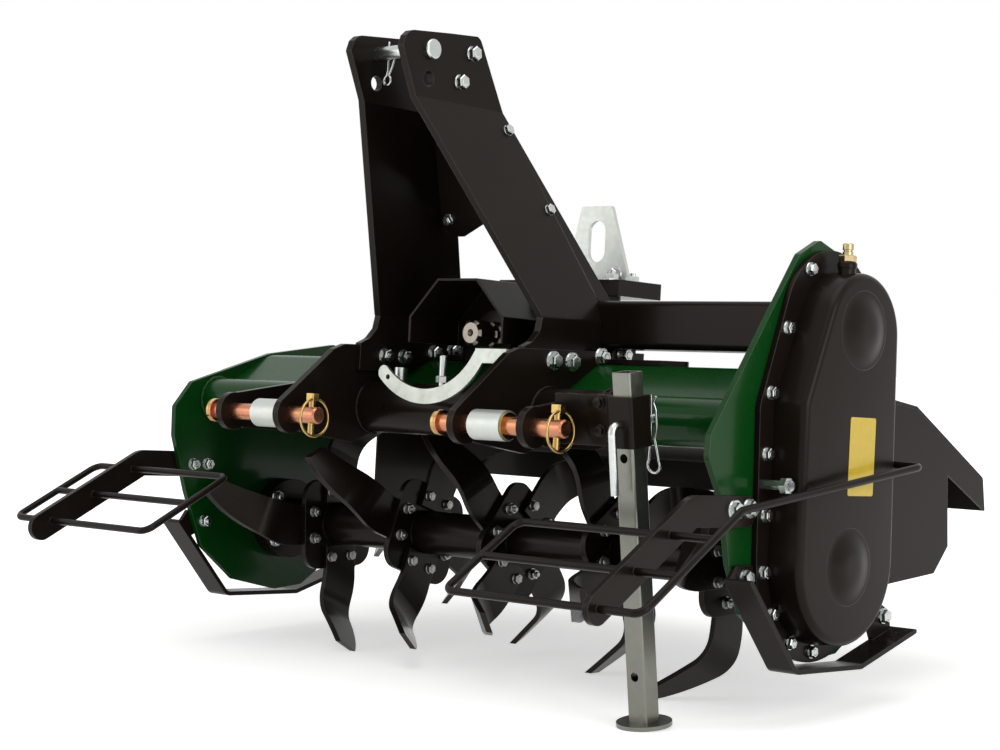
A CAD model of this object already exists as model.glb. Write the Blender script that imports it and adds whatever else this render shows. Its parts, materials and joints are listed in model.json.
"""Looks of a tractor-mounted rotary tiller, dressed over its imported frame."""

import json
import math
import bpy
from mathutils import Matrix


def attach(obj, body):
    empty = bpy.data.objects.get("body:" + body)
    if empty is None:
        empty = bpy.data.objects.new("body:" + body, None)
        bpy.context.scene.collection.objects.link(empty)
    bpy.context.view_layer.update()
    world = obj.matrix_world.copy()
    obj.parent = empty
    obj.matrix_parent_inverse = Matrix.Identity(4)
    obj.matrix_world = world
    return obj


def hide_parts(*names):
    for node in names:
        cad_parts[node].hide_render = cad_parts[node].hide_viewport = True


bl_info = {
    "name": "Rotary tiller",
    "version": (1, 0, 0),
    "blender": (4, 5, 0),
    "location": "View3D > Sidebar > Tiller",
    "description": "Enamel, plating, fasteners, welds and pressed covers of a rotary tiller",
    "category": "Object",
}

import bmesh
import bpy
from mathutils import Matrix, Vector

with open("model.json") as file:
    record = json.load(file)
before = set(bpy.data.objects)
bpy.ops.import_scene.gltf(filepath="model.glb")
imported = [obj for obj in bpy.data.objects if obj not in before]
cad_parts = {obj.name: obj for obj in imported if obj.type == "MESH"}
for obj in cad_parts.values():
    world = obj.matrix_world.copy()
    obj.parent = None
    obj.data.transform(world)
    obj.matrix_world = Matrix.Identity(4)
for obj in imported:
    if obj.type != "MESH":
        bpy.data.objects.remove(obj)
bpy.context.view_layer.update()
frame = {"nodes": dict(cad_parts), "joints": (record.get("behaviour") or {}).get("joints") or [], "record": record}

MM = 0.001
TINY = 1e-6

# The level machine's own axes, found from the parked record.
RECORD = frame["record"]
JOINTS = {joint["name"]: joint for joint in frame["joints"]}
MOUNTS = {mount["name"]: mount for mount in RECORD["mounts"]}
INPUT_AXIS = JOINTS["input_spin"]["axis"]
PARK_PITCH = math.atan2(-INPUT_AXIS[2], INPUT_AXIS[1])
MIDDLE = Vector((MOUNTS["top_link"]["pos_m"][0], *MOUNTS["lower_link_right"]["pos_m"][1:]))
PARK_TURN = Matrix.Rotation(-PARK_PITCH, 4, "X")
LEVEL = Matrix.Translation(MIDDLE) @ PARK_TURN @ Matrix.Scale(MM, 4)

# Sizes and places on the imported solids, in millimetres in the level machine.
ROTOR_Y, ROTOR_Z = 286.0, -156.0
TUBE_Y, TUBE_Z = 150.0, 15.0                # front tube's axis
CROSS_Y, CROSS_Z = 287.0, 136.0             # cross tube's axis
PLATE_INNER = 474.0                         # inner faces of the side plates
GUARD_FACE, SKID_FACE = 490.0, 488.0        # outer faces of guard arms and skid ears
BEARING_OUTER, BEARING_INNER = -491.0, -450.0   # where the bearing's bolts and nuts sit
CASE_BACK, CASE_FACE = 490.0, 535.0         # chain case cover's rim and face
COVER_CIRCLES = ((269.0, -141.0, 100.0), (188.0, 40.0, 20.0), (284.0, 127.0, 76.0))
CASE_BOLTS = (                              # down the front, then down the rear
    (228, 203), (188, 131), (161, 54), (158, -17), (161, -88), (162, -154), (183, -203),
    (221, -238), (266, -250), (304, 213), (341, 188), (380, 54), (383, -17), (380, -88),
    (379, -154), (358, -203), (320, -238),
)
DOMES = (((280.0, 134.0), 47.0), ((270.0, -146.0), 46.0))
FILLER_FOOT = (511.5, 273.0, 193.0)
FLANGE_X = (-356.0, -178.0, 0.0, 178.0, 356.0)
FLANGE_TURNS = (-16.0, -37.0, -57.0, -74.0, -106.0)
TIP_LEAD = 180.0 + math.degrees(PARK_PITCH) + 14.8      # degrees from flange to blade
BLADE_BOLT_REACH, BLADE_BOLT_HALF = 47.0, 19.0
HITCH_INNER, HITCH_OUTER = 140.0, 160.0     # where the hitch's nuts and bolts sit
MAST_FOLD, MAST_FOOT = 400.0, 137.0         # heights where the mast plates fold
MAST_OUTER, MAST_SPLAY = 51.0, 99.0         # x above the fold, and what the foot adds
BRACE_LEAN, BRACE_FOOT = -0.5894, 358.8     # y per z of the brace, and y at z = 0
TOP_PIN_Y, TOP_PIN_Z = 18.0, 463.0
PIN_HEADS = (-303.0, 114.0)                 # x of the lower pins' heads
SLEEVE_ENDS = (-214.2, -161.2, 174.8, 227.8)
SIGN_MIDDLE = (0.0, 287.0, -15.5)
STAND = Vector((377.5, 42.0, 13.0))         # middle of the stand's socket
STAND_LEAN = math.radians(8.9)

# Fastener sizes in millimetres, in the order of the tree's inputs.
FASTENER_INPUTS = ("Hexagon radius", "Hexagon height", "Washer radius", "Washer thickness",
                   "Thread radius", "Thread showing")
WIRE_INPUTS = ("Radius", "Step", "Ripple")
FASTENER_SIZES = {
    "hitch_plate_bolts": (9.2, 7, 12.8, 2.4, 5, 0.3),
    "mast_foot_nuts": (9.2, 8, 11, 2, 5, 5),
    "mast_top_bolts": (9.6, 7.5, 10.2, 1.2, 5, 0.3),
    "mast_edge_bolts": (7.2, 5.5, 7.8, 1, 4, 0.3),
    "mast_brace_bolts": (7.2, 5.5, 8.4, 1.4, 4, 0.3),
    "guard_arm_bolts": (9.2, 7, 12.2, 2.2, 5, 0.3),
    "side_plate_nuts": (7.6, 7, 9, 1.8, 4, 4),
    "skid_bolts": (8.6, 7, 10.4, 2, 5, 0.3),
    "bearing_bolts": (8, 6, 10, 1.8, 4, 1.5),
    "lift_plate_nuts": (9, 7, 12, 2, 5, 4),
    "bracket_bolts": (6.4, 5, 7.4, 1.2, 3.6, 0.3),
    "blade_bolts": (7, 5.5, 7.4, 0.6, 4, 0.3),
    "blade_nuts": (7, 6.5, 8.2, 1.6, 3.6, 4),
}

# Sprayed enamels: material, dust, rubbed edge, orange peel in mm, clear coat,
# roughness and reflection.
ENAMELS = {
    "black": ("enamel_gloss_black", "#1d1713", "#4a433d", 2.6, 0.05, 0.26, 0.1),
    "blade": ("enamel_black_on_forged_blades", "#201a16", "#544b44", 1.6, 0.05, 0.24, 0.14),
    "green": ("enamel_gloss_green", "#0a4016", "#3a7a40", 2.6, 0.2, 0.22, 0.08),
}

# Plated and turned metals: material, colour, warm and cool drift, grain in mm and
# roughness.
METALS = {
    "zinc": ("zinc_bright_plate", "#c4c8c5", "#b9bab2", "#adb6bb", 7.0, 0.2),
    "pale": ("zinc_pale_satin", "#c6cac4", "#bfc1b8", "#b9bfbe", 8.0, 0.42),
    "drawn": ("zinc_on_drawn_tube", "#7f7f77", "#7a786c", "#6f7473", 9.0, 0.3),
    "dulled": ("zinc_dulled_by_soil", "#a3a49e", "#8a867b", "#a8abaa", 3.0, 0.34),
    "passivate": ("zinc_yellow_passivate", "#bd8062", "#c07c62", "#b58a58", 9.0, 0.24),
    "spangle": ("zinc_hot_dipped_spangle", "#b4b8b0", "#989b92", "#c8ccc6", 5.0, 0.36),
    "gilt": ("zinc_gold_passivate", "#b4985c", "#b98a5e", "#a99a62", 6.0, 0.2),
    "steel": ("steel_turned_oiled", "#8d857c", "#7e756b", "#968d84", 2.0, 0.3),
    "brass": ("brass_turned", "#b5a27a", "#a58c5c", "#bfb190", 2.5, 0.24),
}

# The frame's solids take their slot's finish, or one of their own.
SLOT_FINISHES = {
    "black_paint": "black", "blade_paint": "blade", "green_paint": "green",
    "bright_zinc": "zinc", "yellow_zinc": "passivate", "turned_steel": "steel",
    "brass": "brass",
}
NODE_FINISHES = {
    "stand_leg": "drawn", "pin_sleeves": "pale", "lift_plate": "pale",
    "shaft_cradle": "spangle", "linch_pins": "gilt",
}

# Studio lamps: name, place and size in metres, power in watts.
LAMPS = (
    ("overhead_softbox", (0.6, -0.6, 3.2), 2.6, 34.0),
    ("front_softbox", (-2.4, -3.0, 1.5), 2.2, 20.0),
    ("side_softbox", (3.6, -0.6, 1.4), 2.0, 44.0),
)
LAMP_TARGET = Vector((0.0, 0.0, 0.35))
FLOOR_REACH = 9.0

# The camera, in metres and degrees, placed from the hitch's middle.
LENS_LENGTH, SENSOR_WIDTH = 80.41, 36.0
CAMERA_AZIMUTH, CAMERA_FALL = 42.3186, 2.17065
CAMERA_OFFSET = Vector((1.99677, -1.95698, 0.16033))


def linear(hex_colour):
    """Linear RGBA of an sRGB hex colour."""
    channels = [int(hex_colour[i:i + 2], 16) / 255 for i in (1, 3, 5)]
    return tuple(c / 12.92 if c <= 0.04045 else ((c + 0.055) / 1.055) ** 2.4
                 for c in channels) + (1.0,)


def add_node(tree, kind, inputs=None, **settings):
    """Add a node with its settings; inputs hold values, a socket or several sockets."""
    made = tree.nodes.new(kind)
    for name, value in settings.items():
        setattr(made, name, value)
    for key, value in (inputs or {}).items():
        sources = value if isinstance(value, list) else [value]
        for source in sources:
            if isinstance(source, bpy.types.NodeSocket):
                tree.links.new(source, made.inputs[key])
            else:
                made.inputs[key].default_value = source
    return made


# --- finishes
def start_material(name):
    """An empty node material, its tree, and its object-space coordinates."""
    material = bpy.data.materials.get(name) or bpy.data.materials.new(name)
    material.use_nodes = True
    tree = material.node_tree
    tree.nodes.clear()
    coords = add_node(tree, "ShaderNodeTexCoord").outputs["Object"]
    return material, tree, coords


def principled(material, tree, inputs):
    """Lead one surface with these inputs to the material's output."""
    surface = add_node(tree, "ShaderNodeBsdfPrincipled", inputs)
    add_node(tree, "ShaderNodeOutputMaterial", {"Surface": surface.outputs["BSDF"]})
    return material


def noise(tree, coords, scale, detail=2.0, rough=0.5, warp=0.0):
    """Value of a noise texture over the object's coordinates."""
    return add_node(tree, "ShaderNodeTexNoise", {
        "Vector": coords, "Scale": scale, "Detail": detail, "Roughness": rough,
        "Distortion": warp}).outputs["Fac"]


def blended(tree, factor, low, high):
    """Colour that runs from low to high with factor."""
    return add_node(tree, "ShaderNodeMix", {0: factor, 6: low, 7: high},
                    data_type="RGBA").outputs[2]


def ranged(tree, value, low, high, start=0.3, end=0.7):
    """Value stretched from start..end onto low..high."""
    return add_node(tree, "ShaderNodeMapRange", {
        "Value": value, "From Min": start, "From Max": end, "To Min": low, "To Max": high,
    }).outputs["Result"]


def enamel(name, colour, dusty, rubbed, peel_mm, gloss, rough, shine):
    """Sprayed enamel on steel: deep gloss with a fine orange peel, a little dust in
    the film, and edges that the paint draws back from and rounds over."""
    material, tree, coords = start_material(name)
    peel = noise(tree, coords, 1 / (peel_mm * MM), rough=0.4)
    cloud = noise(tree, coords, 9.0, 5.0, 0.6)
    specks = noise(tree, coords, 420.0, 1.0)
    film = blended(tree, ranged(tree, cloud, 0.0, 0.55), colour, dusty)
    tint = blended(tree, ranged(tree, specks, 0.0, 0.35, 0.62, 0.8), film, dusty)
    rounded = add_node(tree, "ShaderNodeBevel", {"Radius": 1.3 * MM}, samples=3)
    skin = add_node(tree, "ShaderNodeBump", {
        "Strength": 0.1, "Distance": 0.12 * MM, "Height": peel,
        "Normal": rounded.outputs["Normal"]})
    shape = add_node(tree, "ShaderNodeNewGeometry")
    match = add_node(tree, "ShaderNodeVectorMath", {
        0: rounded.outputs["Normal"], 1: shape.outputs["Normal"]}, operation="DOT_PRODUCT")
    edge = ranged(tree, match.outputs["Value"], 0.55, 0.0, 0.8, 0.99)
    return principled(material, tree, {
        "Base Color": blended(tree, edge, tint, rubbed),
        "Roughness": ranged(tree, cloud, rough, rough + 0.1),
        "Specular IOR Level": summed(tree, scaled(tree, edge, 0.8), shine),
        "Specular Tint": (1.0, 0.91, 0.84, 1.0),
        "Coat Weight": gloss,
        "Coat Roughness": 0.12,
        "Normal": skin.outputs["Normal"]})


def plated(name, colour, warm, cool, grain_mm, rough):
    """Electroplated steel: bright metal with a faint crystal spangle, drawn lines
    from the bar stock, and passivate colours that drift over the surface."""
    material, tree, coords = start_material(name)
    spangle = add_node(tree, "ShaderNodeTexVoronoi", {
        "Vector": coords, "Scale": 1 / (grain_mm * MM), "Randomness": 1.0})
    drift = noise(tree, coords, 38.0, 3.0, 0.55, 0.6)
    drawn = add_node(tree, "ShaderNodeMapping", {"Vector": coords, "Scale": (420.0, 420.0, 30.0)})
    lines = noise(tree, drawn.outputs["Vector"], 1.0)
    passivate = blended(tree, ranged(tree, drift, 0.0, 1.0, 0.35, 0.68), warm, cool)
    mottled = blended(tree, ranged(tree, spangle.outputs["Distance"], 0.2, 0.5, 0.1, 0.8),
                      colour, passivate)
    skin = add_node(tree, "ShaderNodeBump", {
        "Strength": 0.05, "Distance": 0.04 * MM, "Height": lines})
    return principled(material, tree, {
        "Base Color": mottled,
        "Metallic": 1.0,
        "Roughness": ranged(tree, spangle.outputs["Distance"], rough, rough + 0.08, 0.0, 1.0),
        "Normal": skin.outputs["Normal"]})


def sign_vinyl():
    """Self-adhesive vinyl: flat, even colour under a slightly wavy clear film."""
    material, tree, coords = start_material("vinyl_yellow_sign")
    ripple = noise(tree, coords, 120.0)
    colour = blended(tree, ranged(tree, ripple, 0.0, 0.4), linear("#d9b91f"), linear("#c8a51a"))
    skin = add_node(tree, "ShaderNodeBump", {
        "Strength": 0.12, "Distance": 0.05 * MM, "Height": ripple})
    return principled(material, tree, {
        "Base Color": colour, "Roughness": 0.34, "Coat Weight": 0.3,
        "Normal": skin.outputs["Normal"]})


def finishes():
    """All finishes by short name; made once and shared."""
    colours = bpy.context.scene.tiller_colours
    paints = {"black": colours.black, "blade": colours.black, "green": colours.green}
    made = {}
    for short, (name, dust, rubbed, *values) in ENAMELS.items():
        made[short] = enamel(name, (*paints[short], 1.0), linear(dust), linear(rubbed), *values)
    for short, (name, colour, warm, cool, *values) in METALS.items():
        made[short] = plated(name, linear(colour), linear(warm), linear(cool), *values)
    made["sign"] = sign_vinyl()
    return made


finishes_made = {}


# --- mesh helpers
def settle(name, mesh, finish, body="frame"):
    """Make the finished piece of a mesh that is in the row frame, in metres."""
    piece = bpy.data.objects.new(name, mesh)
    bpy.context.scene.collection.objects.link(piece)
    mesh.materials.clear()
    mesh.materials.append(finishes_made[finish])
    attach(piece, body)
    return piece


def from_level(name, shape, finish, smooth=None, body="frame"):
    """Close up a bmesh drawn in the level machine and settle it as a piece."""
    bmesh.ops.remove_doubles(shape, verts=shape.verts, dist=0.01)
    bmesh.ops.recalc_face_normals(shape, faces=shape.faces)
    shape.transform(LEVEL)
    mesh = bpy.data.meshes.new(name)
    shape.to_mesh(mesh)
    shape.free()
    if smooth is not None:
        for polygon in mesh.polygons:
            polygon.use_smooth = True
        mesh.set_sharp_from_angle(angle=math.radians(smooth))
    return settle(name, mesh, finish, body)


def bridge(shape, first, second):
    """Faces between two closed rings of the same length."""
    for k in range(len(first)):
        nxt = (k + 1) % len(first)
        shape.faces.new((first[k], first[nxt], second[nxt], second[k]))


def lathe(shape, profile, centre, axis, steps=40):
    """Turn (along, radius) points about an axis; ends on the axis are closed."""
    axis = Vector(axis).normalized()
    side = axis.orthogonal().normalized()
    other = axis.cross(side)
    rings = []
    for along, radius in profile:
        base = Vector(centre) + axis * along
        if radius < TINY:
            rings.append([shape.verts.new(base)])
            continue
        turns = [2 * math.pi * k / steps for k in range(steps)]
        rings.append([shape.verts.new(base + radius * (math.cos(t) * side + math.sin(t) * other))
                      for t in turns])
    for first, second in zip(rings, rings[1:]):
        for k in range(steps):
            nxt = (k + 1) % steps
            corners = [first[k % len(first)], first[nxt % len(first)],
                       second[nxt % len(second)], second[k % len(second)]]
            corners = list(dict.fromkeys(corners))
            if len(corners) > 2:
                shape.faces.new(corners)


def slab(shape, outline, low, high, across=(1, 0, 0), up=(0, 1, 0), origin=(0, 0, 0)):
    """A plate from an outline in two directions, thick along their cross product."""
    first, second = Vector(across), Vector(up)
    normal = first.cross(second).normalized()
    ends = []
    for level in (low, high):
        ends.append([shape.verts.new(Vector(origin) + a * first + b * second + level * normal)
                     for a, b in outline])
    shape.faces.new(ends[0])
    shape.faces.new(ends[1])
    bridge(shape, *ends)


def softened(points, radius, steps=5):
    """A closed outline with its corners rounded; radius may be one value per corner."""
    radii = radius if isinstance(radius, (list, tuple)) else [radius] * len(points)
    made = []
    for k, corner in enumerate(points):
        here = Vector(corner)
        before = (Vector(points[k - 1]) - here).normalized()
        after = (Vector(points[(k + 1) % len(points)]) - here).normalized()
        half = before.angle(after) / 2
        if radii[k] <= 0 or half > math.pi / 2 - 0.01:
            made.append(here)
            continue
        reach = radii[k] / math.tan(half)
        for step in range(steps + 1):
            share = step / steps
            near, far = here + before * reach, here + after * reach
            made.append(near * (1 - share) ** 2 + here * 2 * share * (1 - share)
                        + far * share ** 2)
    return made


def distance_out(outline, centre, turn):
    """How far an outline lies from a centre in one direction."""
    ray = Vector((math.cos(turn), math.sin(turn)))
    found = 0.0
    for k, start in enumerate(outline):
        side = Vector(outline[(k + 1) % len(outline)]) - Vector(start)
        offset = Vector(start) - Vector(centre)
        turned = ray.x * side.y - ray.y * side.x
        if abs(turned) < TINY * TINY:
            continue
        along = (offset.x * side.y - offset.y * side.x) / turned
        share = (offset.x * ray.y - offset.y * ray.x) / turned
        if -TINY <= share <= 1 + TINY and along > found:
            found = along
    return found


def holed_slab(shape, outline, hole, centre, low, high, across, up, origin):
    """A plate with one hole, both drawn as outlines about the hole's centre."""
    rays = 64
    turns = {round(2 * math.pi * k / rays, 6) for k in range(rays)}
    for point in outline:
        offset = Vector(point) - Vector(centre)
        turns.add(round(math.atan2(offset.y, offset.x) % (2 * math.pi), 6))
    first, second = Vector(across), Vector(up)
    normal = first.cross(second).normalized()
    rings = []
    for level in (low, high):
        for edge in (outline, hole):
            ring = []
            for turn in sorted(turns):
                far = distance_out(edge, centre, turn)
                a, b = centre[0] + far * math.cos(turn), centre[1] + far * math.sin(turn)
                ring.append(shape.verts.new(
                    Vector(origin) + a * first + b * second + level * normal))
            rings.append(ring)
    for one, two in ((0, 1), (2, 3), (0, 2), (1, 3)):
        bridge(shape, rings[one], rings[two])


def hull_of_circles(circles, inset, steps=120):
    """Outline round circles given as (y, z, radius), drawn in by an inset."""
    points = []
    for k in range(steps):
        turn = 2 * math.pi * k / steps
        out = Vector((math.cos(turn), math.sin(turn)))
        y, z, radius = max(circles, key=lambda c: c[0] * out.x + c[1] * out.y + c[2])
        points.append(Vector((y, z)) + (radius - inset) * out)
    return points


# --- node trees
def new_tree(name, labels):
    """A geometry tree with named float inputs, its group input and their sockets."""
    tree = bpy.data.node_groups.new(name, "GeometryNodeTree")
    tree.interface.new_socket("Geometry", in_out="INPUT", socket_type="NodeSocketGeometry")
    tree.interface.new_socket("Geometry", in_out="OUTPUT", socket_type="NodeSocketGeometry")
    for label in labels:
        tree.interface.new_socket(label, in_out="INPUT", socket_type="NodeSocketFloat")
    tree.interface.new_socket("Finish", in_out="INPUT", socket_type="NodeSocketMaterial")
    given = tree.nodes.new("NodeGroupInput")
    return tree, given, [given.outputs[label] for label in labels]


def end_tree(tree, geometry, material):
    """Make instances real, set their material and lead them out of the tree."""
    real = add_node(tree, "GeometryNodeRealizeInstances", {"Geometry": geometry})
    coated = add_node(tree, "GeometryNodeSetMaterial", {
        "Geometry": real.outputs["Geometry"], "Material": material})
    add_node(tree, "NodeGroupOutput", {0: coated.outputs["Geometry"]})


def raised(tree, geometry, height):
    """Geometry lifted along Z by a socket's height."""
    lift = add_node(tree, "ShaderNodeCombineXYZ", {"Z": height})
    return add_node(tree, "GeometryNodeTransform", {
        "Geometry": geometry, "Translation": lift.outputs["Vector"]}).outputs["Geometry"]


def maths(tree, operation, first, second):
    """One maths node on two values or sockets."""
    return add_node(tree, "ShaderNodeMath", {0: first, 1: second}, operation=operation).outputs[0]


def summed(tree, first, *others):
    """Sum of values and sockets."""
    for term in others:
        first = maths(tree, "ADD", first, term)
    return first


def scaled(tree, value, factor):
    """Product of two values or sockets."""
    return maths(tree, "MULTIPLY", value, factor)


def background_rays(tree):
    """1 for rays that see the background directly, in metal or through glass, else 0."""
    path = add_node(tree, "ShaderNodeLightPath")
    direct = maths(tree, "MAXIMUM", path.outputs["Is Camera Ray"],
                   path.outputs["Is Transmission Ray"])
    return maths(tree, "MAXIMUM", direct, path.outputs["Is Glossy Ray"])


def fastener_tree():
    """Hexagon, washer and thread end on every point, along its axis attribute."""
    tree, given, sockets = new_tree("hexagon_fasteners", FASTENER_INPUTS)
    hexagon, height, washer, thick, thread, out = sockets
    body_height, crown_height = scaled(tree, height, 0.84), scaled(tree, height, 0.16)
    ring = add_node(tree, "GeometryNodeMeshCone", {
        "Vertices": 28, "Radius Top": scaled(tree, washer, 0.93), "Radius Bottom": washer,
        "Depth": thick})
    body = add_node(tree, "GeometryNodeMeshCylinder", {
        "Vertices": 6, "Radius": hexagon, "Depth": body_height})
    crown = add_node(tree, "GeometryNodeMeshCone", {
        "Vertices": 6, "Radius Top": scaled(tree, hexagon, 0.84), "Radius Bottom": hexagon,
        "Depth": crown_height})
    end = add_node(tree, "GeometryNodeMeshCone", {
        "Vertices": 14, "Radius Top": scaled(tree, thread, 0.8), "Radius Bottom": thread,
        "Depth": out})
    top = summed(tree, thick, height)
    parts = [
        ring.outputs["Mesh"],
        raised(tree, body.outputs["Mesh"], summed(tree, thick, scaled(tree, body_height, 0.5))),
        raised(tree, crown.outputs["Mesh"], summed(tree, thick, body_height)),
        raised(tree, end.outputs["Mesh"], top),
    ]
    joined = add_node(tree, "GeometryNodeJoinGeometry", {0: parts})
    axis = add_node(tree, "GeometryNodeInputNamedAttribute", {"Name": "axis"},
                    data_type="FLOAT_VECTOR")
    aim = add_node(tree, "FunctionNodeAlignRotationToVector", {
        "Vector": axis.outputs["Attribute"]}, axis="Z")
    spread = add_node(tree, "GeometryNodeInstanceOnPoints", {
        "Points": given.outputs["Geometry"], "Instance": joined.outputs["Geometry"],
        "Rotation": aim.outputs["Rotation"]})
    chance = add_node(tree, "FunctionNodeRandomValue", {"Max": 1.047, "Seed": 7},
                      data_type="FLOAT")
    spin = add_node(tree, "ShaderNodeCombineXYZ", {"Z": chance.outputs[1]})
    turned = add_node(tree, "GeometryNodeRotateInstances", {
        "Instances": spread.outputs["Instances"], "Rotation": spin.outputs["Vector"]})
    end_tree(tree, turned.outputs["Instances"], given.outputs["Finish"])
    return tree


def wire_tree():
    """Round wire or weld bead along a line; ripple gives a bead its chevrons."""
    tree, given, (radius, step, ripple) = new_tree("round_wire_and_bead", WIRE_INPUTS)
    line = add_node(tree, "GeometryNodeMeshToCurve", {"Mesh": given.outputs["Geometry"]})
    even = add_node(tree, "GeometryNodeResampleCurve", {
        "Curve": line.outputs["Curve"], "Length": step}, mode="LENGTH")
    chevrons = add_node(tree, "ShaderNodeTexNoise", {"Scale": 300.0})
    swell = scaled(tree, maths(tree, "SUBTRACT", chevrons.outputs["Fac"], 0.5), ripple)
    ring = add_node(tree, "GeometryNodeCurvePrimitiveCircle", {"Resolution": 10, "Radius": 1.0})
    tube = add_node(tree, "GeometryNodeCurveToMesh", {
        "Curve": even.outputs["Curve"], "Profile Curve": ring.outputs["Curve"],
        "Scale": scaled(tree, summed(tree, swell, 1.0), radius), "Fill Caps": True})
    smooth = add_node(tree, "GeometryNodeSetShadeSmooth", {"Geometry": tube.outputs["Mesh"]})
    end_tree(tree, smooth.outputs["Geometry"], given.outputs["Finish"])
    return tree


def grown(name, mesh, tree, values, finish, body="frame"):
    """Run a tree on a mesh in the row frame and settle the plain result."""
    seed = bpy.data.objects.new(name + "_seed", mesh)
    bpy.context.scene.collection.objects.link(seed)
    modifier = seed.modifiers.new("grow", "NODES")
    modifier.node_group = tree
    values["Finish"] = finishes_made[finish]
    for item in tree.interface.items_tree:
        if item.in_out == "INPUT" and item.name in values:
            modifier[item.identifier] = values[item.name]
    seed.update_tag()
    bpy.context.view_layer.update()
    graph = bpy.context.evaluated_depsgraph_get()
    made = bpy.data.meshes.new_from_object(seed.evaluated_get(graph))
    bpy.data.objects.remove(seed)
    bpy.data.meshes.remove(mesh)
    made.name = name
    return settle(name, made, finish, body)


def fasteners(name, places, finish="zinc", body="frame", size=None):
    """Fasteners at (position, axis) in the level machine, sized by name or as given."""
    mesh = bpy.data.meshes.new(name + "_points")
    turn = PARK_TURN.to_3x3()
    mesh.from_pydata([LEVEL @ Vector(position) for position, _ in places], [], [])
    axis = mesh.attributes.new("axis", "FLOAT_VECTOR", "POINT")
    for k, (_, direction) in enumerate(places):
        axis.data[k].vector = (turn @ Vector(direction)).normalized()
    size = size or FASTENER_SIZES[name]
    values = {label: value * MM for label, value in zip(FASTENER_INPUTS, size)}
    tree = bpy.data.node_groups.get("hexagon_fasteners") or fastener_tree()
    return grown(name, mesh, tree, values, finish, body)


def wires(name, lines, radius, finish, step, ripple=0.0):
    """Wire or weld bead along lines of points in the level machine."""
    points, edges = [], []
    for line in lines:
        start = len(points)
        points += [LEVEL @ Vector(p) for p in line]
        edges += [(k, k + 1) for k in range(start, len(points) - 1)]
    mesh = bpy.data.meshes.new(name + "_line")
    mesh.from_pydata(points, edges, [])
    tree = bpy.data.node_groups.get("round_wire_and_bead") or wire_tree()
    values = {"Radius": radius * MM, "Step": step * MM, "Ripple": ripple}
    return grown(name, mesh, tree, values, finish)


def arc(centre, first, second, radius, start, end, steps=16):
    """Points of an arc in the plane of two directions; angles in degrees."""
    turns = [math.radians(start + (end - start) * k / steps) for k in range(steps + 1)]
    return [Vector(centre) + radius * (math.cos(t) * Vector(first) + math.sin(t) * Vector(second))
            for t in turns]


# --- properties
class TillerColours(bpy.types.PropertyGroup):
    """Colours that the panel offers."""
    black: bpy.props.FloatVectorProperty(
        name="Black enamel", description="Colour of the frame's enamel",
        subtype="COLOR", size=3, default=linear("#150f0b")[:3])
    green: bpy.props.FloatVectorProperty(
        name="Green enamel", description="Colour of the side plates' and deck's enamel",
        subtype="COLOR", size=3, default=linear("#073f10")[:3])
    floor: bpy.props.FloatVectorProperty(
        name="Floor", description="Colour of the studio floor",
        subtype="COLOR", size=3, default=linear("#fbfbfa")[:3])


class TillerSizes(bpy.types.PropertyGroup):
    """Sizes that the panel offers."""
    dome_height: bpy.props.FloatProperty(
        name="Dome height", description="Rise of the cover's pressed domes",
        default=7.0 * MM, unit="LENGTH")
    bolt_radius: bpy.props.FloatProperty(
        name="Bolt hexagon", description="Corner radius of the case bolts' heads",
        default=7.2 * MM, unit="LENGTH")
    sign_width: bpy.props.FloatProperty(
        name="Sign width", description="Width of the blank sign on the cover",
        default=54.0 * MM, unit="LENGTH")


# --- operators
class TILLER_OT_finishes(bpy.types.Operator):
    """Give every solid of the frame its finish."""
    bl_idname = "tiller.finishes"
    bl_label = "Finishes"

    def execute(self, context):
        finishes_made.update(finishes())
        slots = {part["node"]: part["material_slot"] for part in RECORD["subparts"]}
        for name, solid in frame["nodes"].items():
            solid.data.materials.clear()
            chosen = NODE_FINISHES.get(name, SLOT_FINISHES[slots[name]])
            solid.data.materials.append(finishes_made[chosen])
        return {"FINISHED"}


class TILLER_OT_case_cover(bpy.types.Operator):
    """Press the chain case's cover with its rolled edge and two domes."""
    bl_idname = "tiller.case_cover"
    bl_label = "Chain case cover"

    def execute(self, context):
        height = context.scene.tiller_sizes.dome_height / MM
        shape = bmesh.new()
        fillet, draft, rim = 9.0, 0.8, 2.5
        rings = [(CASE_BACK, 0.0), (CASE_BACK + rim, 0.0), (CASE_FACE - fillet, draft)]
        for k in range(1, 9):
            turn = math.radians(90 * k / 8)
            rings.append((CASE_FACE - fillet + fillet * math.sin(turn),
                          draft + fillet * (1 - math.cos(turn))))
        loops = []
        for x, inset in rings:
            loops.append([shape.verts.new((x, p.x, p.y))
                          for p in hull_of_circles(COVER_CIRCLES, inset)])
        for first, second in zip(loops, loops[1:]):
            bridge(shape, first, second)
        shape.faces.new(loops[-1])
        shape.faces.new(loops[0])
        sunk, proud = 1.5, 0.03
        for centre, radius in DOMES:
            profile = [(CASE_FACE - sunk, radius)]
            for k in range(15):
                share = k / 14
                rise = height * (0.5 + 0.5 * math.cos(math.pi * (1 - share) ** 1.6))
                profile.append((CASE_FACE + rise + proud, radius * (1 - share)))
            lathe(shape, profile, (0, *centre), (1, 0, 0), 56)
        cover = from_level("case_cover_pressing", shape, "black", 30)
        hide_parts("chain_case_cover")
        return {"FINISHED"}


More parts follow.
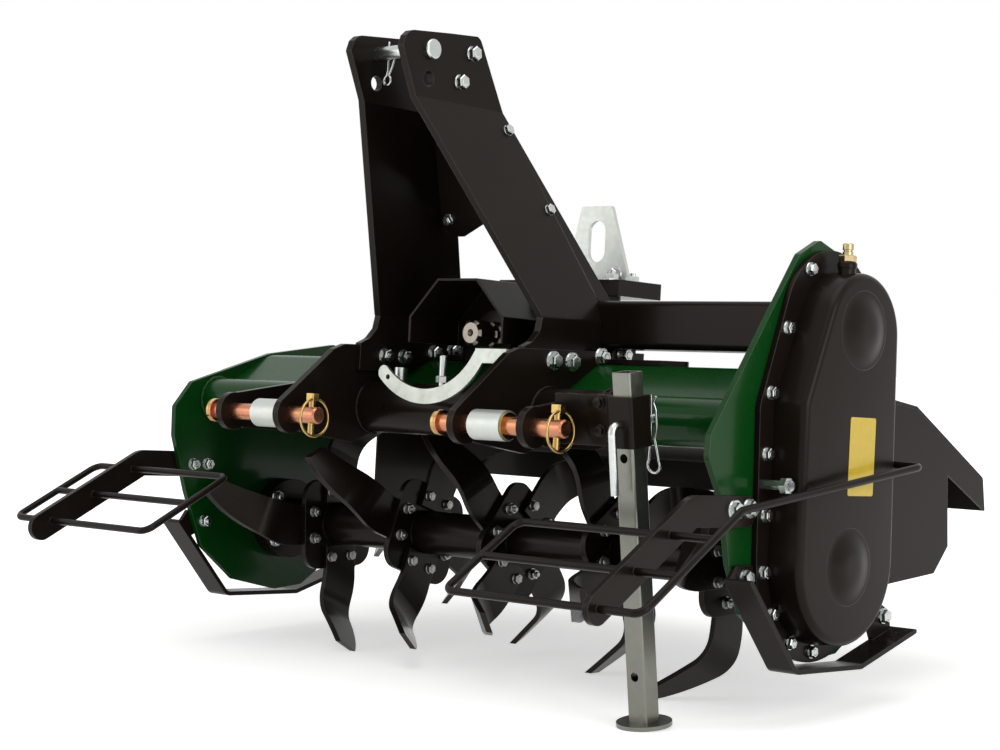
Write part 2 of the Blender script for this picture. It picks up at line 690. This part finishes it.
class TILLER_OT_filler(bpy.types.Operator):
    """Turn the oil filler's black neck and its brass breather plug."""
    bl_idname = "tiller.filler"
    bl_label = "Oil filler"

    def execute(self, context):
        shape = bmesh.new()
        lathe(shape, [(-1, 13), (2, 12.6), (5, 10.5), (14, 10.5), (15, 11.8), (20, 11.8), (22, 10.4),
                      (22, 0)], FILLER_FOOT, (0, 0, 1), 32)
        neck = from_level("filler_neck", shape, "black", 40)
        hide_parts("plug_elbow")
        shape = bmesh.new()
        lathe(shape, [(22, 0), (22, 10.2), (23, 11), (29, 11), (30, 9.6), (30, 0)],
              FILLER_FOOT, (0, 0, 1), 6)
        lathe(shape, [(29.5, 6.2), (34, 6.2), (34.6, 5.4), (36, 5.4), (36.6, 6.6), (43, 6.6),
                      (44, 5.6), (44, 0)], FILLER_FOOT, (0, 0, 1), 28)
        plug = from_level("breather_plug", shape, "brass", 35)
        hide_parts("filler_plug")
        return {"FINISHED"}


class TILLER_OT_sign(bpy.types.Operator):
    """Stick a blank yellow sign on the cover's face."""
    bl_idname = "tiller.sign"
    bl_label = "Blank sign"

    def execute(self, context):
        half = context.scene.tiller_sizes.sign_width / MM / 2
        tall, corner = 46.5, 3.0
        outline = []
        for y, z, start in ((1, 1, 0), (-1, 1, 90), (-1, -1, 180), (1, -1, 270)):
            middle = (y * (half - corner), z * (tall - corner))
            outline += arc(middle, (1, 0), (0, 1), corner, start, start + 90, 4)
        shape = bmesh.new()
        slab(shape, outline, CASE_FACE + 0.05, CASE_FACE + 0.5, (0, 1, 0), (0, 0, 1),
             SIGN_MIDDLE)
        from_level("blank_sign", shape, "sign")
        return {"FINISHED"}


class TILLER_OT_mast_plates(bpy.types.Operator):
    """Round the top front corners of the two mast plates."""
    bl_idname = "tiller.mast_plates"
    bl_label = "Mast plates"

    def execute(self, context):
        corner = [(-31, 400), (-31, 462), (-27, 474), (-19, 481), (-7, 484), (60, 489)]
        tilt = PARK_TURN.to_3x3()
        for side in ("left", "right"):
            solid = frame["nodes"][f"mast_{side}"]
            shape = bmesh.new()
            shape.from_mesh(solid.data)
            shape.transform(solid.matrix_world)
            bmesh.ops.remove_doubles(shape, verts=shape.verts, dist=0.01 * MM)
            for (y, z), (far_y, far_z) in zip(corner, corner[1:]):
                out = tilt @ Vector((0, z - far_z, far_y - y)).normalized()
                bmesh.ops.bisect_plane(
                    shape, geom=shape.verts[:] + shape.edges[:] + shape.faces[:],
                    plane_co=LEVEL @ Vector((0, y, z)), plane_no=out, clear_outer=True)
                rim = [edge for edge in shape.edges if edge.is_boundary]
                bmesh.ops.edgeloop_fill(shape, edges=rim)
            bmesh.ops.recalc_face_normals(shape, faces=shape.faces)
            mesh = bpy.data.meshes.new(f"mast_plate_{side}")
            shape.to_mesh(mesh)
            shape.free()
            piece = settle(f"mast_plate_{side}", mesh, "black")
            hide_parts(f"mast_{side}")
        return {"FINISHED"}


class TILLER_OT_mast_brace(bpy.types.Operator):
    """Cut the brace between the mast plates to its notched lower edge."""
    bl_idname = "tiller.mast_brace"
    bl_label = "Mast brace"

    def execute(self, context):
        half = [(43.5, 392), (92, 262), (76, 250), (56, 250)]
        outline = half + [(0, 270)] + [(-x, z) for x, z in reversed(half)]
        shape = bmesh.new()
        slab(shape, softened(outline, 5), -2.6, 2.6, (1, 0, 0), (0, BRACE_LEAN, 1),
             (0, BRACE_FOOT, 0))
        brace = from_level("mast_brace_plate", shape, "black")
        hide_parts("mast_brace")
        return {"FINISHED"}


class TILLER_OT_lift_plate(bpy.types.Operator):
    """Cut the slotted lifting plate behind the gearbox."""
    bl_idname = "tiller.lift_plate"
    bl_label = "Lifting plate"

    def execute(self, context):
        outline = softened([(60, 201), (22, 310), (-32, 310), (-58, 201)], [1, 5, 5, 1])
        slot = arc((-2, 274.5, 0), (1, 0, 0), (0, 1, 0), 15, 0, 180, 14)
        slot += arc((-2, 246.5, 0), (1, 0, 0), (0, 1, 0), 15, 180, 360, 14)
        slot = [point.xy for point in slot]
        shape = bmesh.new()
        holed_slab(shape, outline, slot, (-2, 260.5), 0, 6, (1, 0, 0), (0, 0, 1), (0, 426, 0))
        lift = from_level("lifting_plate", shape, "pale", 30)
        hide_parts("lift_plate")
        return {"FINISHED"}


class TILLER_OT_gearbox_feet(bpy.types.Operator):
    """Cut the gearbox's flat feet and the flanges they bolt on with."""
    bl_idname = "tiller.gearbox_feet"
    bl_label = "Gearbox feet"

    def execute(self, context):
        shape = bmesh.new()
        low, high, flange_x, flange_half = 84, 91, 163, 3
        for side in (-1, 1):
            wing = [(160, 246), (258, 246), (290, 262), (262, 300), (160, 317)]
            wing = [(side * x, y) for x, y in wing]
            slab(shape, softened(wing, [0, 6, 6, 6, 0]), low, high)
            inner = [(side * x, y) for x, y in ((85, 246), (140, 246), (140, 320), (85, 329))]
            slab(shape, inner, low, high)
            rise = [(262, 91), (306, 91), (306, 99), (300, 105), (268, 105), (262, 99)]
            slab(shape, rise, side * flange_x - flange_half, side * flange_x + flange_half,
                 (0, 1, 0), (0, 0, 1))
        feet = from_level("gearbox_foot_plates", shape, "black")
        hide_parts("gearbox_feet")
        return {"FINISHED"}


class TILLER_OT_input_spline(bpy.types.Operator):
    """Turn the splined input shaft with its lock groove and centre hole."""
    bl_idname = "tiller.input_spline"
    bl_label = "Input shaft"

    def execute(self, context):
        shape = bmesh.new()
        tip, height, count, crest_half = 170.0, 118.0, 96, 17.5
        crest, root, groove, chamfer, bore = 17.4, 14.6, 14.5, 13.4, 2.4

        def ring(y, high, low):
            made = []
            for k in range(count):
                turn = 360 * k / count
                on_crest = abs((turn + 30) % 60 - 30) < crest_half
                radius, turn = (high if on_crest else low), math.radians(turn)
                made.append(shape.verts.new(
                    (radius * math.cos(turn), y, height + radius * math.sin(turn))))
            return made

        profile = [(11, 0.4, 0.4), (9, bore, bore), (4, bore, bore), (0, 5, 5),
                   (0, chamfer, chamfer), (3, crest, root), (26, crest, root),
                   (27.5, groove, groove), (32, groove, groove), (33.5, crest, root),
                   (42, crest, root), (43, crest, crest), (74, crest, crest)]
        rings = [ring(tip + along, high, low) for along, high, low in profile]
        for first, second in zip(rings, rings[1:]):
            bridge(shape, first, second)
        shape.faces.new(rings[0])
        shape.faces.new(rings[-1])
        shaft = from_level("splined_input_shaft", shape, "steel", 25,
                           "input_shaft")
        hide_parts("pto_shaft")
        return {"FINISHED"}


def mast_place(side, y, z):
    """A point and outward axis on the splayed outer face of a mast plate."""
    x = MAST_OUTER + MAST_SPLAY * (MAST_FOLD - z) / (MAST_FOLD - MAST_FOOT)
    return (side * x, y, z), (side * 0.936, 0, 0.352)


def both_sides(x, spots, facing=1):
    """Places at (y, z) spots on two mirrored faces, outward or with -1 inward."""
    return [((side * x, y, z), (side * facing, 0, 0)) for side in (-1, 1) for y, z in spots]


class TILLER_OT_fasteners(bpy.types.Operator):
    """Set the frame's bolts and nuts."""
    bl_idname = "tiller.fasteners"
    bl_label = "Frame fasteners"

    def execute(self, context):
        corner = context.scene.tiller_sizes.bolt_radius / MM
        fasteners("case_bolts", [((CASE_BACK, y, z), (1, 0, 0)) for y, z in CASE_BOLTS],
                  size=(corner, 5.5, corner * 1.22, 1.8, 4, 0.3))
        feet = ((154, 84, 0), (190, 84, 0), (248, 93, 0), (285, 98, 6))
        fasteners("hitch_plate_bolts", [((side * (HITCH_OUTER + foot), y, z), (side, 0, 0))
                                        for side in (-1, 1) for y, z, foot in feet])
        nuts = both_sides(HITCH_INNER, [(y, z) for y, z, _ in feet], -1)
        fasteners("mast_foot_nuts", nuts)
        fasteners("mast_top_bolts", both_sides(MAST_OUTER, ((94, 469), (74, 430))))
        fasteners("mast_edge_bolts", [mast_place(side, y, z) for side in (-1, 1)
                                      for y, z in ((158, 379), (204, 280))])
        brace_height, brace_face = 271, 3.0
        brace_y = BRACE_FOOT + BRACE_LEAN * brace_height - brace_face
        fasteners("mast_brace_bolts", [((x, brace_y, brace_height), (0, -1, BRACE_LEAN))
                                       for x in (-74, 74)])
        fasteners("guard_arm_bolts", both_sides(GUARD_FACE, ((101, -82), (129, -80))))
        nuts = both_sides(PLATE_INNER, ((111, -80), (137, -79), (137, -161)), -1)
        fasteners("side_plate_nuts", nuts)
        fasteners("skid_bolts", both_sides(SKID_FACE, ((130, -160), (424, -213))))
        bearing, bolt_circle = [], 45
        for turn in (45, 135, 225, 315):
            spot = (ROTOR_Y + bolt_circle * math.cos(math.radians(turn)),
                    ROTOR_Z + bolt_circle * math.sin(math.radians(turn)))
            bearing.append(((BEARING_OUTER, *spot), (-1, 0, 0)))
            bearing.append(((BEARING_INNER, *spot), (1, 0, 0)))
        fasteners("bearing_bolts", bearing)
        rise, base = 214, 201
        lift = [((x, y, rise), (0, way, 0)) for y, way in ((420, -1), (426, 1)) for x in (-34, 34)]
        lift += [((x, y, base), (0, 0, 1)) for x in (-80, 80) for y in (358, 402)]
        fasteners("lift_plate_nuts", lift)
        return {"FINISHED"}


class TILLER_OT_rotor_bolts(bpy.types.Operator):
    """Bolt each blade to its flange with two bolts and nuts."""
    bl_idname = "tiller.rotor_bolts"
    bl_label = "Rotor bolts"

    def execute(self, context):
        heads, nuts = [], []
        head_out, nut_out = 11.1, 4.1
        for x, flange_turn in zip(FLANGE_X, FLANGE_TURNS):
            base = TIP_LEAD + flange_turn
            for quarter in range(4):
                hand = 1 if quarter % 2 == 0 else -1
                turn = math.radians(base + 90 * quarter)
                for along in (-BLADE_BOLT_HALF, BLADE_BOLT_HALF):
                    y = ROTOR_Y + along * math.cos(turn) - BLADE_BOLT_REACH * math.sin(turn)
                    z = ROTOR_Z + along * math.sin(turn) + BLADE_BOLT_REACH * math.cos(turn)
                    heads.append(((x + hand * head_out, y, z), (hand, 0, 0)))
                    nuts.append(((x - hand * nut_out, y, z), (-hand, 0, 0)))
        fasteners("blade_bolts", heads, "dulled", body="rotor")
        fasteners("blade_nuts", nuts, "dulled", body="rotor")
        return {"FINISHED"}


class TILLER_OT_welds(bpy.types.Operator):
    """Lay the weld beads that join the hitch, tubes and plates."""
    bl_idname = "tiller.welds"
    bl_label = "Weld beads"

    def execute(self, context):
        def around_tube(x, radius, start=0, end=360):
            return arc((x, TUBE_Y, TUBE_Z), (0, 1, 0), (0, 0, 1), radius, start, end)

        rings = [around_tube(x, 35, 60, 300)
                 for x in (-272, -262, -160, -150, 150, 160, 262, 272)]
        rings += [around_tube(x, 31.5) for x in (-290, 290)]
        square = [(-31, -31), (31, -31), (31, 31), (-31, 31), (-31, -31)]
        rings.append([(PLATE_INNER - 1, CROSS_Y + y, CROSS_Z + z) for y, z in square])
        wires("tube_welds", rings, 2.6, "black", 1.6, 0.9)
        ends = [around_tube(x, 31) for x in (2 - PLATE_INNER, PLATE_INNER - 2)]
        wires("plate_welds", ends, 2.8, "green", 1.6, 0.9)
        return {"FINISHED"}


class TILLER_OT_stand_fittings(bpy.types.Operator):
    """Bolt the stand's bracket and bend the clips of the top pin and the stand's pin."""
    bl_idname = "tiller.stand_fittings"
    bl_label = "Stand fittings"

    def execute(self, context):
        right = Vector((1, 0, 0))
        back = Vector((0, math.cos(STAND_LEAN), math.sin(STAND_LEAN)))
        up = Vector((0, -math.sin(STAND_LEAN), math.cos(STAND_LEAN)))
        aside, ahead = 38, 7
        bolts = [(STAND - right * aside + up * rise - back * ahead, -back) for rise in (21, -12)]
        fasteners("bracket_bolts", bolts, "black")
        pin = Vector((-24, TOP_PIN_Y, TOP_PIN_Z))
        leg = [pin + Vector((0, 0, 15)), pin - Vector((0, 0, 22))]
        leg += arc(pin - Vector((0, 0, 34)), (0, 0, 1), (-1, 0, 0), 6, 20, 340)
        leg += [pin + Vector(step) for step in ((7, 0, -18), (10, 0, -10), (11, 0, -1))]
        wires("top_pin_clip", [leg], 1.4, "zinc", 1.5)
        tail = STAND + back * 41 - up * 2
        straight = [tail + up * 28 + right, tail + up * 10, tail - up * 20 - right * 2]
        coil = arc(tail - up * 55, up, right, 9, -50, -300, 22)
        wave = [(-40, 6.5), (-24, 3.5), (-10, 7), (0, 7.4), (10, 6.8), (19, 3.5), (26, 8)]
        wave = [tail + up * rise + right * out for rise, out in wave]
        wires("spring_clip", [straight + coil + wave], 1.6, "zinc", 1.5)
        return {"FINISHED"}


class TILLER_OT_pin_collars(bpy.types.Operator):
    """Turn the gold collars on the lower pins' heads and at the sleeves' ends."""
    bl_idname = "tiller.pin_collars"
    bl_label = "Pin collars"

    def execute(self, context):
        shape = bmesh.new()
        for head in PIN_HEADS:
            lathe(shape, [(-0.4, 0), (-0.4, 14.8), (0.3, 15.6), (4.4, 15.6), (5, 15), (5, 0)],
                  (head, 0, 0), (1, 0, 0))
        for end in SLEEVE_ENDS:
            lathe(shape, [(0, 0), (0, 16.2), (2.4, 16.2), (2.4, 0)], (end, 0, 0), (1, 0, 0))
        from_level("pin_collars", shape, "gilt", 30)
        return {"FINISHED"}


class TILLER_OT_cradle_fittings(bpy.types.Operator):
    """Fit the stud, nut and spacer that carry the driveline cradle."""
    bl_idname = "tiller.cradle_fittings"
    bl_label = "Cradle fittings"

    def execute(self, context):
        shape = bmesh.new()
        stud, spacer, base, nut = (21, 100), (-73, 118), 46, 50
        lathe(shape, [(0, 0), (0, 5), (38, 5), (39, 4), (39, 0)], (*stud, base), (0, 0, 1), 16)
        lathe(shape, [(0, 0), (0, 9), (22, 9), (22, 0)], (*spacer, base), (0, 0, 1), 24)
        lathe(shape, [(0, 0), (0, 8.6), (7, 8.6), (8.4, 7.2), (8.4, 0)], (*stud, nut), (0, 0, 1), 6)
        from_level("cradle_stud", shape, "zinc", 40)
        return {"FINISHED"}


class TILLER_OT_stage(bpy.types.Operator):
    """Set the floor, the soft studio light and the camera."""
    bl_idname = "tiller.stage"
    bl_label = "Studio"

    def execute(self, context):
        scene = context.scene
        mesh = bpy.data.meshes.new("studio_floor")
        corners = [(x * FLOOR_REACH, y * FLOOR_REACH, 0)
                   for x, y in ((-1, -1), (1, -1), (1, 1), (-1, 1))]
        mesh.from_pydata(corners, [], [(0, 1, 2, 3)])
        floor = bpy.data.objects.new("studio_floor", mesh)
        scene.collection.objects.link(floor)
        mesh.materials.append(self.floor_paint(scene))
        self.world(scene)
        for name, place, size, power in LAMPS:
            light = bpy.data.lights.new(name, "AREA")
            light.size = size
            light.energy = power
            lamp = bpy.data.objects.new(name, light)
            lamp.location = place
            aim = LAMP_TARGET - Vector(place)
            lamp.rotation_euler = aim.to_track_quat("-Z", "Y").to_euler()
            scene.collection.objects.link(lamp)
        self.camera(scene)
        scene.view_settings.view_transform = "Standard"
        return {"FINISHED"}

    def floor_paint(self, scene):
        """Matt backdrop paper: pale and even, a little brighter to the camera."""
        material, tree, coords = start_material("paper_backdrop")
        fibre = noise(tree, coords, 60.0)
        pale = (*scene.tiller_colours.floor, 1.0)
        tint = blended(tree, ranged(tree, fibre, 0.0, 0.5), pale, linear("#f0f0ee"))
        paper = add_node(tree, "ShaderNodeBsdfDiffuse", {"Color": tint})
        away = add_node(tree, "ShaderNodeVectorMath", {0: coords}, operation="LENGTH")
        glow = ranged(tree, away.outputs["Value"], 0.55, 1.0, 0.8, 2.0)
        lift = add_node(tree, "ShaderNodeEmission", {
            "Strength": scaled(tree, background_rays(tree), glow)})
        both = add_node(tree, "ShaderNodeAddShader", {
            0: paper.outputs["BSDF"], 1: lift.outputs["Emission"]})
        add_node(tree, "ShaderNodeOutputMaterial", {"Surface": both.outputs["Shader"]})
        return material

    def world(self, scene):
        """White surroundings for the eye and for reflections, softer as a light."""
        world = bpy.data.worlds.new("studio_world")
        scene.world = world
        world.use_nodes = True
        tree = world.node_tree
        tree.nodes.clear()
        lighting, extra_seen = 0.35, 0.65
        level = summed(tree, scaled(tree, background_rays(tree), extra_seen), lighting)
        sky = add_node(tree, "ShaderNodeBackground", {
            "Color": (1.0, 1.0, 1.0, 1.0), "Strength": level})
        add_node(tree, "ShaderNodeOutputWorld", {"Surface": sky.outputs["Background"]})

    def camera(self, scene):
        """The lens and where it stands, looking slightly down at the machine."""
        lens = bpy.data.cameras.new("view")
        lens.lens = LENS_LENGTH
        lens.sensor_width = SENSOR_WIDTH
        lens.clip_end = 50.0
        eye = bpy.data.objects.new("view", lens)
        azimuth, fall = math.radians(CAMERA_AZIMUTH), math.radians(CAMERA_FALL)
        back = Vector((math.sin(azimuth) * math.cos(fall), -math.cos(azimuth) * math.cos(fall),
                       math.sin(fall)))
        right = Vector((math.cos(azimuth), math.sin(azimuth), 0))
        up = back.cross(right)
        turn = Matrix((right, up, back)).transposed().to_4x4()
        eye.matrix_world = Matrix.Translation(MIDDLE + CAMERA_OFFSET) @ turn
        scene.collection.objects.link(eye)
        scene.camera = eye


class TILLER_PT_panel(bpy.types.Panel):
    """Settings and one button per operator in the sidebar."""
    bl_idname = "TILLER_PT_panel"
    bl_label = "Rotary tiller"
    bl_space_type = "VIEW_3D"
    bl_region_type = "UI"
    bl_category = "Tiller"

    def draw(self, context):
        for group in (context.scene.tiller_colours, context.scene.tiller_sizes):
            for name in group.bl_rna.properties.keys():
                if name not in ("rna_type", "name"):
                    self.layout.prop(group, name)
        for operator in OPERATORS:
            self.layout.operator(operator.bl_idname)


OPERATORS = (
    TILLER_OT_stage, TILLER_OT_finishes, TILLER_OT_case_cover, TILLER_OT_filler,
    TILLER_OT_mast_plates, TILLER_OT_mast_brace, TILLER_OT_lift_plate,
    TILLER_OT_gearbox_feet, TILLER_OT_input_spline, TILLER_OT_pin_collars,
    TILLER_OT_sign, TILLER_OT_fasteners, TILLER_OT_rotor_bolts, TILLER_OT_welds,
    TILLER_OT_stand_fittings, TILLER_OT_cradle_fittings,
)
CLASSES = (TillerColours, TillerSizes, *OPERATORS, TILLER_PT_panel)


def register():
    """Add the panel, its operators and its settings."""
    for cls in CLASSES:
        bpy.utils.register_class(cls)
    bpy.types.Scene.tiller_colours = bpy.props.PointerProperty(type=TillerColours)
    bpy.types.Scene.tiller_sizes = bpy.props.PointerProperty(type=TillerSizes)


def unregister():
    """Take them away again."""
    del bpy.types.Scene.tiller_sizes
    del bpy.types.Scene.tiller_colours
    for cls in reversed(CLASSES):
        bpy.utils.unregister_class(cls)


def main():
    """Run every operator in turn."""
    register()
    for operator in OPERATORS:
        group, name = operator.bl_idname.split(".")
        getattr(getattr(bpy.ops, group), name)()


if __name__ == "__main__":
    main()
